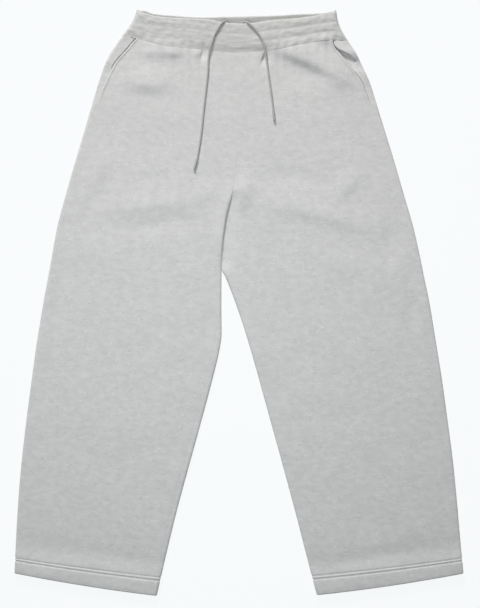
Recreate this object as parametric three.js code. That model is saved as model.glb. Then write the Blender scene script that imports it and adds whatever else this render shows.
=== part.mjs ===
import * as THREE from 'three';

// Jogger sweatpants laid flat, front side up. Millimetres, +X to the viewer's right, +Y towards the
// waist, +Z up from the surface that the garment lies on. Left and right are the viewer's.

// Cloth and seams
const SEAM_GAP = 0.3;
const WAIST_GAP = 0.6; // the waist seam bends, so its straight stretches need more room
const LAYER_GAP = 0.4;
const LARGEST_HOLLOW = 3.9;
const SMALLEST_HOLLOW = 0.3;
const FACING_WALL = 2;
const FACING_UNDERLAP = 30;
const FACING_SINK = 0.7; // deepest trough of the front over the facing
const SIDE_TURN = 4.5; // how far in from a leg's edge the cloth has turned flat
const QUARTER_TURN = (SIDE_TURN * Math.PI) / 2;

// Waistband, folded double over its elastic and sewn down in channels
const BAND_WALL = 3.8;
const BAND_HOLLOW = 3.9;
const BAND_TURN = 6;
const BAND_QUARTER_TURN = (BAND_TURN * Math.PI) / 2;
const BAND_CHANNELS = 3;
const CHANNEL_BULGE = 0.9;
const TOP_EDGE_DROP = 1.3;
const GATHER_RELIEF = 0.8;
const GATHER_PITCH = 15.5;
const GATHER_SHARE = 0.7; // the rest of the gathers' height is a finer ripple
const RIPPLE_REACH = 9;
const GATHER_DRIFTS = [
  { reach: 37, start: 0, amount: 1.6 },
  { reach: 13, start: 1, amount: 0.9 },
]; // they make the gathers uneven
const PUCKER_RELIEF = 1;
const PUCKER_REACH = 30; // how far down the gathers run out into the legs
const FLAT_FRONT = { from: -48, to: 47, fade: 12 }; // the ungathered centre of the front
const BAND_ROWS = [0, 1 / 6, 1 / 3, 1 / 2, 2 / 3, 5 / 6, 0.96, 1]; // from the seam up to the top edge

// Places down the legs, in mm along the side seam from the waistband
const LEG_LENGTH = 928;
const POCKET_END = 119;
const POCKET_TACK = 126;
const CROTCH = 272;
const LEGS_PART = 398;
const HEM_STITCH = 903;
const HEM_STEP = 899;
const HEM_BOW = 2.7; // how far the hem's edge bows down between its corners
const HEM_BOW_REACH = 120;

// How many sections the walls have from one place to the next
const STRETCHES = [
  { to: POCKET_END, sections: 7 },
  { to: POCKET_TACK, sections: 1 },
  { to: CROTCH, sections: 5 },
  { to: LEGS_PART, sections: 7 },
  { to: HEM_STEP, sections: 12 },
  { to: HEM_STITCH, sections: 1 },
  { to: LEG_LENGTH, sections: 2 },
];

// Edges of each half: out is the side seam, in is the centre seam and below the crotch the leg's inner edge
const LEFT_EDGES = [
  { at: 0, outX: -201.5, outY: 462, inX: 1.5, inY: 432.5 },
  { at: 22, outX: -217, outY: 439.5, inX: 1, inY: 408.5 },
  { at: 43, outX: -229, outY: 419, inX: 0, inY: 384.5 },
  { at: 78, outX: -241.5, outY: 384.5, inX: 0, inY: 357 },
  { at: 112, outX: -252, outY: 350, inX: -1, inY: 327.5 },
  { at: 164, outX: -267, outY: 298.5, inX: -1.5, inY: 284.5 },
  { at: 216, outX: -282.5, outY: 246.5, inX: -5, inY: 241.5 },
  { at: 272, outX: -299, outY: 189.5, inX: -12, inY: 189.5 },
  { at: 329, outX: -314, outY: 132.5, inX: -23, inY: 132.5 },
  { at: 398, outX: -326.5, outY: 64, inX: -30, inY: 57.5 },
  { at: 457, outX: -337.5, outY: 5, inX: -30.4, inY: -1.5 },
  { at: 508, outX: -346, outY: -46, inX: -30, inY: -55 },
  { at: 526, outX: -349, outY: -64, inX: -32.4, inY: -74 },
  { at: 595, outX: -358.5, outY: -132.5, inX: -49.5, inY: -146.5 },
  { at: 664, outX: -367.5, outY: -201.5, inX: -69, inY: -219 },
  { at: 733, outX: -375.5, outY: -270.5, inX: -89, inY: -291.5 },
  { at: 802, outX: -381.5, outY: -339.5, inX: -108.5, inY: -364 },
  { at: 871, outX: -385.5, outY: -408.5, inX: -126, inY: -436 },
  { at: 928, outX: -388, outY: -466.5, inX: -142, inY: -506 },
];
const RIGHT_EDGES = [
  { at: 0, outX: 189, outY: 451.5, inX: 1.5, inY: 432.5 },
  { at: 22, outX: 203.5, outY: 429.5, inX: 1, inY: 408.5 },
  { at: 43, outX: 213.5, outY: 408.5, inX: 0, inY: 384.5 },
  { at: 78, outX: 226, outY: 381, inX: 0, inY: 357 },
  { at: 112, outX: 236, outY: 350, inX: -1, inY: 327.5 },
  { at: 164, outX: 252, outY: 298.5, inX: -1.5, inY: 284.5 },
  { at: 216, outX: 268, outY: 246.5, inX: -5, inY: 241.5 },
  { at: 272, outX: 284.5, outY: 189.5, inX: -12, inY: 189.5 },
  { at: 329, outX: 301, outY: 132.5, inX: -23, inY: 132.5 },
  { at: 398, outX: 316.5, outY: 63, inX: -30, inY: 57.5 },
  { at: 410, outX: 319, outY: 50, inX: -24.8, inY: 47.5 },
  { at: 457, outX: 328.5, outY: 5, inX: -5.5, inY: -1.5 },
  { at: 526, outX: 340, outY: -64, inX: 17, inY: -70.5 },
  { at: 595, outX: 351, outY: -132.5, inX: 37.5, inY: -143 },
  { at: 664, outX: 360.5, outY: -201.5, inX: 57.5, inY: -215.5 },
  { at: 733, outX: 369.5, outY: -270.5, inX: 77.5, inY: -288 },
  { at: 802, outX: 376.5, outY: -339.5, inX: 97, inY: -360.5 },
  { at: 871, outX: 382.5, outY: -408.5, inX: 115.5, inY: -432.5 },
  { at: 928, outX: 388, outY: -467, inX: 134.5, inY: -505 },
];

// Section of both halves: loft is the height of the front's face, wall the cloth and rim the side seam's
// height. Close is 0 at the open hip and 1 where the leg's inner edge is closed.
const SECTIONS = [
  { at: 0, loft: 9.4, wall: 2.9, rim: 3.2, close: 0 },
  { at: 43, loft: 9.3, wall: 2.7, rim: 3.2, close: 0 },
  { at: 119, loft: 8.9, wall: 2.5, rim: 3.2, close: 0 },
  { at: 164, loft: 8, wall: 2.3, rim: 3.6, close: 0 },
  { at: 250, loft: 7.4, wall: 2.2, rim: 3.7, close: 0 },
  { at: 272, loft: 7.4, wall: 2.2, rim: 3.7, close: 0.1 },
  { at: 318, loft: 7.3, wall: 2.2, rim: 3.6, close: 1 },
  { at: 600, loft: 7, wall: 2.2, rim: 3.5, close: 1 },
  { at: 840, loft: 7.4, wall: 2.2, rim: 3.7, close: 1 },
  { at: 899, loft: 8.6, wall: 2.4, rim: 4.2, close: 1 },
  { at: 903, loft: 9.4, wall: 3.6, rim: 4.4, close: 1 },
  { at: 922, loft: 9.4, wall: 3.8, rim: 4.5, close: 1 },
  { at: 928, loft: 9, wall: 3.4, rim: 4.5, close: 1 },
];

// How far the pocket's folded edge stands in from the side seam
const LEFT_POCKET = [
  { at: 0, inset: 25 },
  { at: 22, inset: 22 },
  { at: 43, inset: 17 },
  { at: 78, inset: 12 },
  { at: 119, inset: 7 },
];
const RIGHT_POCKET = [
  { at: 0, inset: 29 },
  { at: 12, inset: 32.5 },
  { at: 24, inset: 28.7 },
  { at: 43, inset: 22.2 },
  { at: 78, inset: 14 },
  { at: 119, inset: 10.5 },
];

// How far the left leg's back turns over its inner edge, up to the inseam that shows on top
const LEFT_WRAP = [
  { at: 0, inset: 0 },
  { at: 445, inset: 0 },
  { at: 500, inset: 12 },
  { at: 540, inset: 15 },
  { at: 700, inset: 15 },
  { at: 840, inset: 13 },
  { at: 928, inset: 5 },
];
const NO_INSET = [
  { at: 0, inset: 0 },
  { at: LEG_LENGTH, inset: 0 },
];

// Edges of the waistband
const WAIST_SEAM = [
  { at: -201.5, y: 462 },
  { at: -177.5, y: 456.5 },
  { at: -145, y: 448 },
  { at: -118, y: 442.5 },
  { at: -67, y: 437.5 },
  { at: 1.5, y: 432.5 },
  { at: 39.5, y: 434.5 },
  { at: 105, y: 445.5 },
  { at: 148.5, y: 453 },
  { at: 165, y: 454 },
  { at: 189, y: 451.5 },
];
const FRONT_TOP = [
  { at: -176.5, y: 504.5 },
  { at: -160.5, y: 499 },
  { at: -143, y: 494.5 },
  { at: -108.5, y: 491.5 },
  { at: -55, y: 489.5 },
  { at: -26, y: 484 },
  { at: 1.5, y: 482 },
  { at: 19, y: 482.5 },
  { at: 53.5, y: 487.5 },
  { at: 105, y: 491.5 },
  { at: 139.5, y: 497 },
  { at: 168, y: 502.5 },
];
const BACK_TOP = [
  { at: -176.5, y: 506 },
  { at: -163, y: 505.5 },
  { at: -148.5, y: 500.5 },
  { at: -108.5, y: 497 },
  { at: -67, y: 494.6 },
  { at: -26, y: 494.7 },
  { at: 39.5, y: 496.3 },
  { at: 105, y: 499.6 },
  { at: 139.5, y: 501 },
  { at: 168, y: 506 },
];
const BAND_TUCK = { left: 4, right: 5 }; // how far the band's ends draw in between its two edges

// Largest folds of the front: a soft ridge (height above 0) or trough along a line turned by angle degrees
const FOLDS = [
  { x: 126, y: 391, angle: -30, length: 75, width: 13, height: -2.2 },
  { x: 140, y: 414, angle: -18, length: 42, width: 11, height: 1.6 },
  { x: 126, y: 166, angle: -9, length: 88, width: 13, height: 1.8 },
  { x: 143, y: 133, angle: -8, length: 78, width: 13, height: -1.8 },
  { x: 200, y: 200, angle: 50, length: 34, width: 11, height: -1.4 },
  { x: 105, y: 219, angle: -7, length: 60, width: 13, height: -1.4 },
  { x: 269, y: 117, angle: 97, length: 46, width: 13, height: -1.4 },
  { x: 300, y: -16, angle: 95, length: 34, width: 12, height: -1.2 },
  { x: -165, y: 371, angle: -14, length: 52, width: 12, height: -1.9 },
  { x: -245, y: 157, angle: 76, length: 44, width: 13, height: -1.4 },
  { x: -150, y: 152, angle: -6, length: 78, width: 13, height: -1.4 },
  { x: -162, y: 226, angle: 3, length: 34, width: 11, height: -1.2 },
  { x: -236, y: 238, angle: 60, length: 30, width: 16, height: 1.3 },
  { x: -310, y: 14, angle: 84, length: 80, width: 12, height: -1.3 },
  { x: -54, y: -33, angle: 92, length: 44, width: 11, height: -1.3 },
  { x: -9, y: 221, angle: 82, length: 30, width: 11, height: -1.6 },
  { x: 178, y: 420, angle: -53, length: 24, width: 10, height: 1.8 }, // the right pocket's edge stands up
];

// The drawcord's two free ends: each comes up from between the layers of the band, over its top edge and
// down the front
const CORD_DIAMETER = 3.2;
const CORD_SIDES = 8;
const CORD_STEP = 8;
const TIP_DIAMETER = 4.2;
const TIP_LENGTH = 18;
const LEFT_CORD = [
  [-9.5, 477.5, 5.75],
  [-14, 482.6, 5.75],
  [-18, 486, 7.2],
  [-22.6, 486.8, 10.6],
  [-27.3, 484.2, 13.9],
  [-32.5, 478.3, 14.8],
  [-38, 469.5, 14.5],
  [-43, 459.5, 14.5],
  [-46, 450, 14.4],
  [-49.5, 439.5, 13.9],
  [-51.5, 429.5, 12.6],
  [-53, 417, 11.8],
  [-53.5, 402, 11.6],
  [-56, 376, 11.5],
  [-59.5, 346, 11.2],
  [-62.5, 317, 10.7],
  [-66, 286.5, 10],
  [-71, 255, 9.7],
  [-72.6, 248, 9.8],
];
const RIGHT_CORD = [
  [-1, 477.5, 5.75],
  [3.2, 481.8, 5.75],
  [7, 484.4, 7.2],
  [11.6, 484.8, 10.8],
  [16, 482.4, 13.7],
  [22, 477, 14.6],
  [28.5, 470.5, 14.5],
  [35, 461.5, 14.5],
  [40, 452.5, 14.4],
  [43.5, 443, 14.2],
  [45.5, 432.5, 13],
  [47, 420.5, 12],
  [49.5, 403.5, 11.7],
  [52, 384.5, 11.6],
  [55.5, 360.5, 11.4],
  [58.8, 333, 11],
];

const FLEECE = { color: 0xc9cac8, roughness: 0.95, metalness: 0 };
const BAND_CLOTH = { color: 0xc3c4c1, roughness: 0.95, metalness: 0 };
const CORD = { color: 0x8d8e8c, roughness: 0.8, metalness: 0 };

// Tables

// Value of a column at a place, on a smooth curve through the rows
function read(rows, column, at) {
  const last = rows.length - 1;
  const place = THREE.MathUtils.clamp(at, rows[0].at, rows[last].at);
  let i = 0;
  while (i < last - 1 && place > rows[i + 1].at) i += 1;
  const span = rows[i + 1].at - rows[i].at;
  const t = (place - rows[i].at) / span;
  const start = rows[i][column];
  const end = rows[i + 1][column];
  const leave = slope(rows, column, i) * span;
  const arrive = slope(rows, column, i + 1) * span;
  const t2 = t * t;
  const t3 = t2 * t;
  const blend = 3 * t2 - 2 * t3;
  return (1 - blend) * start + (t3 - 2 * t2 + t) * leave + blend * end + (t3 - t2) * arrive;
}

// Slope at a row: flat at a peak or a level stretch, so that the curve never overshoots its rows
function slope(rows, column, i) {
  const rise = (k) => (rows[k + 1][column] - rows[k][column]) / (rows[k + 1].at - rows[k].at);
  if (i === 0) return rise(0);
  if (i === rows.length - 1) return rise(i - 1);
  const before = rise(i - 1);
  const after = rise(i);
  if (before * after <= 0) return 0;
  return (2 * before * after) / (before + after);
}

function stations(stretches, first = 0) {
  const places = [first];
  for (const { to, sections } of stretches) {
    const from = places[places.length - 1];
    for (let k = 1; k <= sections; k += 1) places.push(from + ((to - from) * k) / sections);
  }
  return places;
}

// Folds, gathers and puckers

function foldHeight(x, y) {
  let height = 0;
  for (const fold of FOLDS) {
    const turn = THREE.MathUtils.degToRad(fold.angle);
    const along = ((x - fold.x) * Math.cos(turn) + (y - fold.y) * Math.sin(turn)) / fold.length;
    const across = ((y - fold.y) * Math.cos(turn) - (x - fold.x) * Math.sin(turn)) / fold.width;
    height += fold.height * Math.exp(-along * along - across * across);
  }
  return height;
}

// Uneven wave of the gathers across the waist, from -1 to 1, gone in the flat centre of the front
function gatherWave(x) {
  let drift = 0;
  for (const { reach, start, amount } of GATHER_DRIFTS) drift += amount * Math.sin(x / reach + start);
  const gather = Math.sin((2 * Math.PI * x) / GATHER_PITCH + drift);
  const ripple = Math.sin(x / RIPPLE_REACH + 2 * drift);
  const wave = GATHER_SHARE * gather + (1 - GATHER_SHARE) * ripple;
  const { from, to, fade } = FLAT_FRONT;
  const outside = Math.max(from - x, x - to);
  return wave * THREE.MathUtils.smoothstep(outside, -fade / 2, fade / 2);
}

// Sections of a flattened tube

// A tube has an outer end (start), an inner end (end), the turn of its edges, and the heights of its layers.
// A point lies q along the layer's path from the start, inset from the layer's face.
function pathLength(tube) {
  return tube.start.distanceTo(tube.end) + (Math.PI - 2) * tube.turn;
}

// Path length up to a point that stands inset in from the tube's edge
function pathTo(tube, inset) {
  return inset + (Math.PI / 2 - 1) * tube.turn;
}

function tubePoint(tube, q, inset, layer) {
  const width = tube.start.distanceTo(tube.end);
  const quarter = (tube.turn * Math.PI) / 2;
  const length = pathLength(tube);
  const fromEnd = q > length / 2;
  const distance = fromEnd ? length - q : q;
  const close = fromEnd ? tube.closeEnd : tube.closeStart;
  const seam = fromEnd ? tube.seamEnd : tube.seamStart;
  const angle = Math.min(distance, quarter) / tube.turn;
  const reach = tube.turn - Math.cos(angle) * (tube.turn - inset * close) + Math.max(distance - quarter, 0);
  const across = fromEnd ? width - reach : reach;
  const place = tube.start.clone().lerp(tube.end, across / width);
  const lift = layer.upper ? layer.relief(place, inset) : 0;
  const face = layer.upper ? layer.face - inset + lift : layer.face + inset;
  const edge = layer.upper ? tube.rim + seam : tube.rim - seam;
  const turned = edge + (face - edge) * Math.sin(angle);
  return new THREE.Vector3(place.x, place.y, THREE.MathUtils.lerp(face, turned, close));
}

// Places along a layer from q0 to q1: close together over the turned ends, even between them
function samples(q0, q1, { head, headSteps, middleSteps, tail, tailSteps }) {
  const list = [];
  for (let k = 0; k < headSteps; k += 1) list.push(q0 + (head * k) / headSteps);
  for (let k = 0; k < middleSteps; k += 1) list.push(q0 + head + ((q1 - tail - q0 - head) * k) / middleSteps);
  for (let k = 0; k <= tailSteps; k += 1) list.push(q1 - tail + (tail * k) / tailSteps);
  return list;
}

// Closed wall through rows of points, each with its outer and inner place
function wall(rows) {
  const columns = rows[0].length;
  const positions = [];
  for (const side of ['outer', 'inner']) {
    for (const row of rows) {
      for (const point of row) positions.push(point[side].x, point[side].y, point[side].z);
    }
  }
  const innerStart = rows.length * columns;
  const triangles = [];
  const quad = (a, b, c, d) => triangles.push(a, b, c, a, c, d);
  const index = (r, c) => r * columns + c;
  for (let r = 0; r < rows.length - 1; r += 1) {
    for (let c = 0; c < columns - 1; c += 1) {
      const corners = [index(r, c), index(r, c + 1), index(r + 1, c + 1), index(r + 1, c)];
      quad(...corners);
      quad(...corners.map((k) => k + innerStart).reverse());
    }
    for (const c of [0, columns - 1]) {
      const rim = [index(r, c), index(r + 1, c), index(r + 1, c) + innerStart, index(r, c) + innerStart];
      quad(...(c === 0 ? rim : rim.reverse()));
    }
  }
  for (let c = 0; c < columns - 1; c += 1) {
    for (const r of [0, rows.length - 1]) {
      const rim = [index(r, c), index(r, c) + innerStart, index(r, c + 1) + innerStart, index(r, c + 1)];
      quad(...(r === 0 ? rim : rim.reverse()));
    }
  }
  return facingOut(positions, triangles);
}

// Geometry with its triangles turned so that the solid's volume is positive
function facingOut(positions, triangles) {
  const corner = (k) => new THREE.Vector3().fromArray(positions, 3 * k);
  let volume = 0;
  for (let k = 0; k < triangles.length; k += 3) {
    const [a, b, c] = [corner(triangles[k]), corner(triangles[k + 1]), corner(triangles[k + 2])];
    volume += a.dot(b.cross(c));
  }
  if (volume < 0) triangles.reverse();
  const geometry = new THREE.BufferGeometry();
  geometry.setAttribute('position', new THREE.Float32BufferAttribute(positions, 3));
  geometry.setIndex(triangles);
  geometry.computeVertexNormals();
  return geometry;
}

// Panels of the legs and hips

// Half of the garment at a place down the leg
function halfAt(half, at) {
  const start = new THREE.Vector3(read(half.edges, 'outX', at), read(half.edges, 'outY', at), 0);
  const end = new THREE.Vector3(read(half.edges, 'inX', at), read(half.edges, 'inY', at), 0);
  const seam = new THREE.Vector3().subVectors(end, start).setLength(SEAM_GAP / 2);
  end.sub(seam);
  const wrap = read(half.wrap, 'inset', at);
  return {
    start,
    end,
    turn: SIDE_TURN,
    rim: read(SECTIONS, 'rim', at),
    closeStart: 1,
    closeEnd: read(SECTIONS, 'close', at),
    seamStart: SEAM_GAP / 2,
    seamEnd: (SEAM_GAP / 2) * Math.max(0, 1 - wrap),
    loft: read(SECTIONS, 'loft', at),
    wall: read(SECTIONS, 'wall', at),
    wrap,
    pocket: at <= POCKET_END ? read(half.pocket, 'inset', at) : 0,
    edges: half.edges,
    at,
  };
}

// The panels' upper ends follow the waist seam and their lower ends the hem, both of which bow away from the
// straight section there
function bowEnds(point, tube) {
  const { outX, outY, inX, inY } = tube.edges[0];
  const across = (point.x - tube.start.x) / (tube.end.x - tube.start.x);
  const straight = THREE.MathUtils.lerp(outY, inY, across);
  const bow = read(WAIST_SEAM, 'y', THREE.MathUtils.lerp(outX, inX, across)) - WAIST_GAP - straight;
  const waistShare = Math.max(0, 1 - tube.at / POCKET_END) ** 2;
  const hemShare = Math.max(0, 1 - (LEG_LENGTH - tube.at) / HEM_BOW_REACH) ** 2;
  point.y += waistShare * bow - hemShare * HEM_BOW * 4 * across * (1 - across);
  return point;
}

function frontLayer(tube) {
  const facingWidth = tube.pocket > 0 ? tube.pocket + FACING_UNDERLAP : 0;
  return {
    upper: true,
    face: tube.loft,
    relief(place, inset) {
      const pucker = PUCKER_RELIEF * gatherWave(place.x) * Math.exp(-tube.at / PUCKER_REACH);
      const overFacing = place.distanceTo(tube.start) < facingWidth + 2 * SIDE_TURN;
      const lift = Math.max(foldHeight(place.x, place.y) + pucker, overFacing ? -FACING_SINK : -Infinity);
      if (inset === 0) return lift;
      const hollow = tube.loft - inset - tube.wall + lift;
      return lift + THREE.MathUtils.clamp(hollow, SMALLEST_HOLLOW, LARGEST_HOLLOW) - hollow;
    },
  };
}

function row(tube, layer, thickness, places) {
  const point = (q, inset) => bowEnds(tubePoint(tube, q, inset, layer), tube);
  return places.map((q) => ({ outer: point(q, 0), inner: point(q, thickness) }));
}

function frontPanel(half) {
  const rows = stations(STRETCHES).map((at) => {
    const tube = halfAt(half, at);
    const q0 = tube.pocket > 0 ? pathTo(tube, tube.pocket) : 0;
    const q1 = pathLength(tube) - tube.wrap - SEAM_GAP * Math.min(1, tube.wrap);
    const spread = { head: QUARTER_TURN, headSteps: 3, middleSteps: 8, tail: QUARTER_TURN, tailSteps: 3 };
    return row(tube, frontLayer(tube), tube.wall, samples(q0, q1, spread));
  });
  return wall(rows);
}

function backPanel(half) {
  const rows = stations(STRETCHES).map((at) => {
    const tube = halfAt(half, at);
    const length = pathLength(tube);
    const tail = QUARTER_TURN + tube.wrap;
    const tailSteps = half.wrap === NO_INSET ? 3 : 6;
    const spread = { head: QUARTER_TURN, headSteps: 3, middleSteps: 5, tail, tailSteps };
    const places = samples(0, length + tube.wrap, spread);
    const under = { upper: false, face: 0 };
    const over = frontLayer(tube);
    return places.map((q) => {
      const layer = q > length ? over : under;
      const onLayer = q > length ? 2 * length - q : q;
      return row(tube, layer, tube.wall, [onLayer])[0];
    });
  });
  return wall(rows);
}

function pocketFacing(half) {
  const places = stations([{ to: POCKET_END, sections: 7 }]);
  const rows = places.map((at) => {
    const tube = halfAt(half, at);
    const layer = { upper: true, face: tube.loft - tube.wall - FACING_SINK - LAYER_GAP, relief: () => 0 };
    const q1 = pathTo(tube, tube.pocket + FACING_UNDERLAP);
    const spread = { head: QUARTER_TURN, headSteps: 3, middleSteps: 3, tail: QUARTER_TURN, tailSteps: 1 };
    return row(tube, layer, FACING_WALL, samples(0, q1, spread));
  });
  return wall(rows);
}

// Waistband

// Place on the band: across goes from 0 at its left end to 1, up from 0 at the seam to 1 at the top edge
function bandPlace(top, across, up) {
  const seamX = THREE.MathUtils.lerp(WAIST_SEAM[0].at, WAIST_SEAM[WAIST_SEAM.length - 1].at, across);
  const topX = THREE.MathUtils.lerp(top[0].at, top[top.length - 1].at, across);
  const tuck = THREE.MathUtils.lerp(BAND_TUCK.left, -BAND_TUCK.right, across) * Math.sin(Math.PI * up);
  const x = THREE.MathUtils.lerp(seamX, topX, up) + tuck;
  const y = THREE.MathUtils.lerp(read(WAIST_SEAM, 'y', seamX), read(top, 'y', topX), up);
  return new THREE.Vector2(x, y);
}

function bandTube(top, up) {
  const start = bandPlace(top, 0, up);
  const end = bandPlace(top, 1, up);
  return {
    start: new THREE.Vector3(start.x, 0, 0),
    end: new THREE.Vector3(end.x, 0, 0),
    turn: BAND_TURN,
    rim: BAND_WALL + BAND_HOLLOW / 2,
    closeStart: 1,
    closeEnd: 1,
    seamStart: SEAM_GAP / 2,
    seamEnd: SEAM_GAP / 2,
  };
}

// Relief of the band's face: it swells in each channel and is gathered outside the flat centre
function bandRelief(x, up) {
  const swell = Math.abs(Math.sin(Math.PI * BAND_CHANNELS * up));
  return swell * (CHANNEL_BULGE + GATHER_RELIEF * gatherWave(x));
}

function waistband(top, isFront) {
  const turned = BAND_QUARTER_TURN;
  const spread = { head: turned, headSteps: 3, middleSteps: isFront ? 66 : 30, tail: turned, tailSteps: 3 };
  const rows = BAND_ROWS.map((up) => {
    const tube = bandTube(top, up);
    const drop = up === 1 ? TOP_EDGE_DROP : 0;
    const layer = isFront
      ? {
          upper: true,
          face: 2 * BAND_WALL + BAND_HOLLOW,
          relief: (place, inset) => (inset === 0 ? bandRelief(place.x, up) - drop : drop),
        }
      : { upper: false, face: 0 };
    const width = tube.end.x - tube.start.x;
    const point = (q, inset) => {
      const flat = tubePoint(tube, q, inset, layer);
      const place = bandPlace(top, (flat.x - tube.start.x) / width, up);
      return new THREE.Vector3(flat.x, place.y, flat.z);
    };
    const places = samples(0, pathLength(tube), spread);
    return places.map((q) => ({ outer: point(q, 0), inner: point(q, BAND_WALL) }));
  });
  return wall(rows);
}

// Drawcord

function regularSection(sides, diameter) {
  const shape = new THREE.Shape();
  for (let k = 0; k < sides; k += 1) {
    const angle = (2 * Math.PI * (k + 0.5)) / sides;
    const [x, y] = [(diameter / 2) * Math.cos(angle), (diameter / 2) * Math.sin(angle)];
    if (k === 0) shape.moveTo(x, y);
    else shape.lineTo(x, y);
  }
  shape.closePath();
  return shape;
}

function cordCurve(route) {
  return new THREE.CatmullRomCurve3(route.map((point) => new THREE.Vector3(...point)), false, 'centripetal');
}

function cordTube(route) {
  const curve = cordCurve(route);
  const steps = Math.round(curve.getLength() / CORD_STEP);
  const shape = regularSection(CORD_SIDES, CORD_DIAMETER);
  return new THREE.ExtrudeGeometry(shape, { steps, extrudePath: curve, bevelEnabled: false });
}

// Bound end of a cord, in line with its last stretch and a seam's gap beyond it
function cordTip(route) {
  const curve = cordCurve(route);
  const direction = curve.getTangent(1);
  direction.z = 0;
  direction.normalize();
  const geometry = new THREE.CylinderGeometry(TIP_DIAMETER / 2, TIP_DIAMETER / 2, TIP_LENGTH, 10);
  const turn = new THREE.Quaternion().setFromUnitVectors(new THREE.Vector3(0, 1, 0), direction);
  geometry.applyQuaternion(turn);
  const centre = curve.getPoint(1).addScaledVector(direction, LAYER_GAP + TIP_LENGTH / 2);
  geometry.translate(centre.x, centre.y, centre.z + (TIP_DIAMETER - CORD_DIAMETER) / 2);
  return geometry;
}

// The garment

const LEFT = { edges: LEFT_EDGES, pocket: LEFT_POCKET, wrap: LEFT_WRAP };
const RIGHT = { edges: RIGHT_EDGES, pocket: RIGHT_POCKET, wrap: NO_INSET };

const sweatpants = new THREE.Group();

function add(name, geometry, finish) {
  const mesh = new THREE.Mesh(geometry, new THREE.MeshStandardMaterial(finish));
  mesh.name = name;
  sweatpants.add(mesh);
}

for (const [side, half] of [['left', LEFT], ['right', RIGHT]]) {
  add(`front_${side}`, frontPanel(half), FLEECE);
  add(`back_${side}`, backPanel(half), FLEECE);
  add(`pocket_facing_${side}`, pocketFacing(half), FLEECE);
}
add('waistband_front', waistband(FRONT_TOP, true), BAND_CLOTH);
add('waistband_back', waistband(BACK_TOP, false), BAND_CLOTH);
for (const [side, route] of [['left', LEFT_CORD], ['right', RIGHT_CORD]]) {
  add(`drawcord_${side}`, cordTube(route), CORD);
  add(`drawcord_tip_${side}`, cordTip(route), CORD);
}

export default sweatpants;
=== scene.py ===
import math
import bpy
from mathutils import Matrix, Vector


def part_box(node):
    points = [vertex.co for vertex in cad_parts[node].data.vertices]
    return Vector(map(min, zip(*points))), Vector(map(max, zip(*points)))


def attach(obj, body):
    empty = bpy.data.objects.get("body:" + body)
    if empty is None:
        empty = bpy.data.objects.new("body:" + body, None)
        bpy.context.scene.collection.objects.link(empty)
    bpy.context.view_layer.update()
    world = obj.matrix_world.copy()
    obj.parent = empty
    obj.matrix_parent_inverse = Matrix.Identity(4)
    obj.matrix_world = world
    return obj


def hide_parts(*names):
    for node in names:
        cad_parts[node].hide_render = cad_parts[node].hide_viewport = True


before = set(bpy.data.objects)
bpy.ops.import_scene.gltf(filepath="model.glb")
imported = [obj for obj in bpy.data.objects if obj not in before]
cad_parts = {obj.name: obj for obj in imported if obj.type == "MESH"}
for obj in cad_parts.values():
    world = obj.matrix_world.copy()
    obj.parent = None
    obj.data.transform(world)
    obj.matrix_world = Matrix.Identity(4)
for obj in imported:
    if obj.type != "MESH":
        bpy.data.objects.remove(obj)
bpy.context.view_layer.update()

from types import SimpleNamespace

import bmesh
import bpy
import numpy as np
from mathutils import Vector, noise

# Jogger sweatpants laid flat, front side up, in metres. +X is the viewer's right, +Y the waist and +Z up.

# Picture and camera
VIEW_HEIGHT = 1.0482  # metres of floor from the top of the picture to its bottom
VIEW_CENTRE = (0.0017, -0.0017)
CAMERA_HEIGHT = 3.0
SENSOR = 0.036

# Cloth and seams
SEAM_GAP = 0.0001
LAYER_GAP = 0.0004
LARGEST_HOLLOW = 0.0039
SMALLEST_HOLLOW = 0.0003
SIDE_TURN = 0.0045
QUARTER_TURN = SIDE_TURN * math.pi / 2
HEM_BOW = 0.0027
HEM_BOW_REACH = 0.12
HEM_RIM = 0.0019  # what the hem's rounded rim adds to the leg
CLOTH_WAVES = ((0.0008, 0.06, 3.1), (0.00022, 0.022, 7.7))  # height, size and seed of each
UNDER_SHIFT = 0.4  # so that the underside doesn't repeat the front's waves
UNDER_LIFT = 0.0002
UNDER_CREASE = 0.0008

# Grooves at seams and stitches: the share of the wall that is drawn in, and the groove's width
SIDE_GROOVE = (0.3, 0.0012)
CENTRE_GROOVE = (0.05, 0.0012)
WAIST_GROOVE = (0.06, 0.0022)
HEM_GROOVE = (0.25, 0.0014)
CENTRE_GROOVE_FADE = (0.2, 0.27)  # down the leg, above the crotch

# Pockets
FACING_WALL = 0.0012
FACING_UNDERLAP = 0.03
FACING_SINK = 0.0007
LIP_FADE = (-0.0008, 0.0016)  # either side of the slit's width
WELT_WIDTH = 0.0045
WELT_RISE = 0.0008
WELT_FADE = 0.001
WELT_STITCH_DIP = 0.0006
WELT_STITCH_REACH = 0.0012
POCKET_FADE = (0.085, 0.115)  # where a pocket's edge ends, down the leg

# Waistband
BAND_WALL = 0.0038
BAND_HOLLOW = 0.0039
BAND_TURN = 0.006
BAND_HEIGHT = 0.047
BAND_CHANNELS = 3
CHANNEL_BULGE = 0.0008
LEFT_BULGE = 0.4  # share of the bulge at the left
BULGE_FADE = (-0.03, 0.09)
GATHER_RELIEF = 0.0006
GATHER_PITCH = 0.0155
GATHER_SHARE = 0.6  # of the even gathers in the relief
LUMP_SHARE = 1.2  # of the uneven ones
LUMP_SIZE = 0.014
LUMP_SEED = 5.5
LUMP_SQUEEZE = 2.2  # how much shorter the lumps are up the band than along it
SEAM_DROP = 0.0021  # how far the band's face comes down to the front's at the waist seam
SEAM_DROP_REACH = 0.3  # share of the band's height
STRIP_DIP = 0.001  # how far the back band's inside dips behind the front's top edge
STRIP_RISE = 0.0028  # and how far it rises from there
STRIP_RISE_REACH = 0.012
STRIP_DIP_REACH = 0.003
PUCKER_RELIEF = 0.0007
PUCKER_REACH = 0.03
FLAT_FRONT = (-0.048, 0.047)
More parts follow.
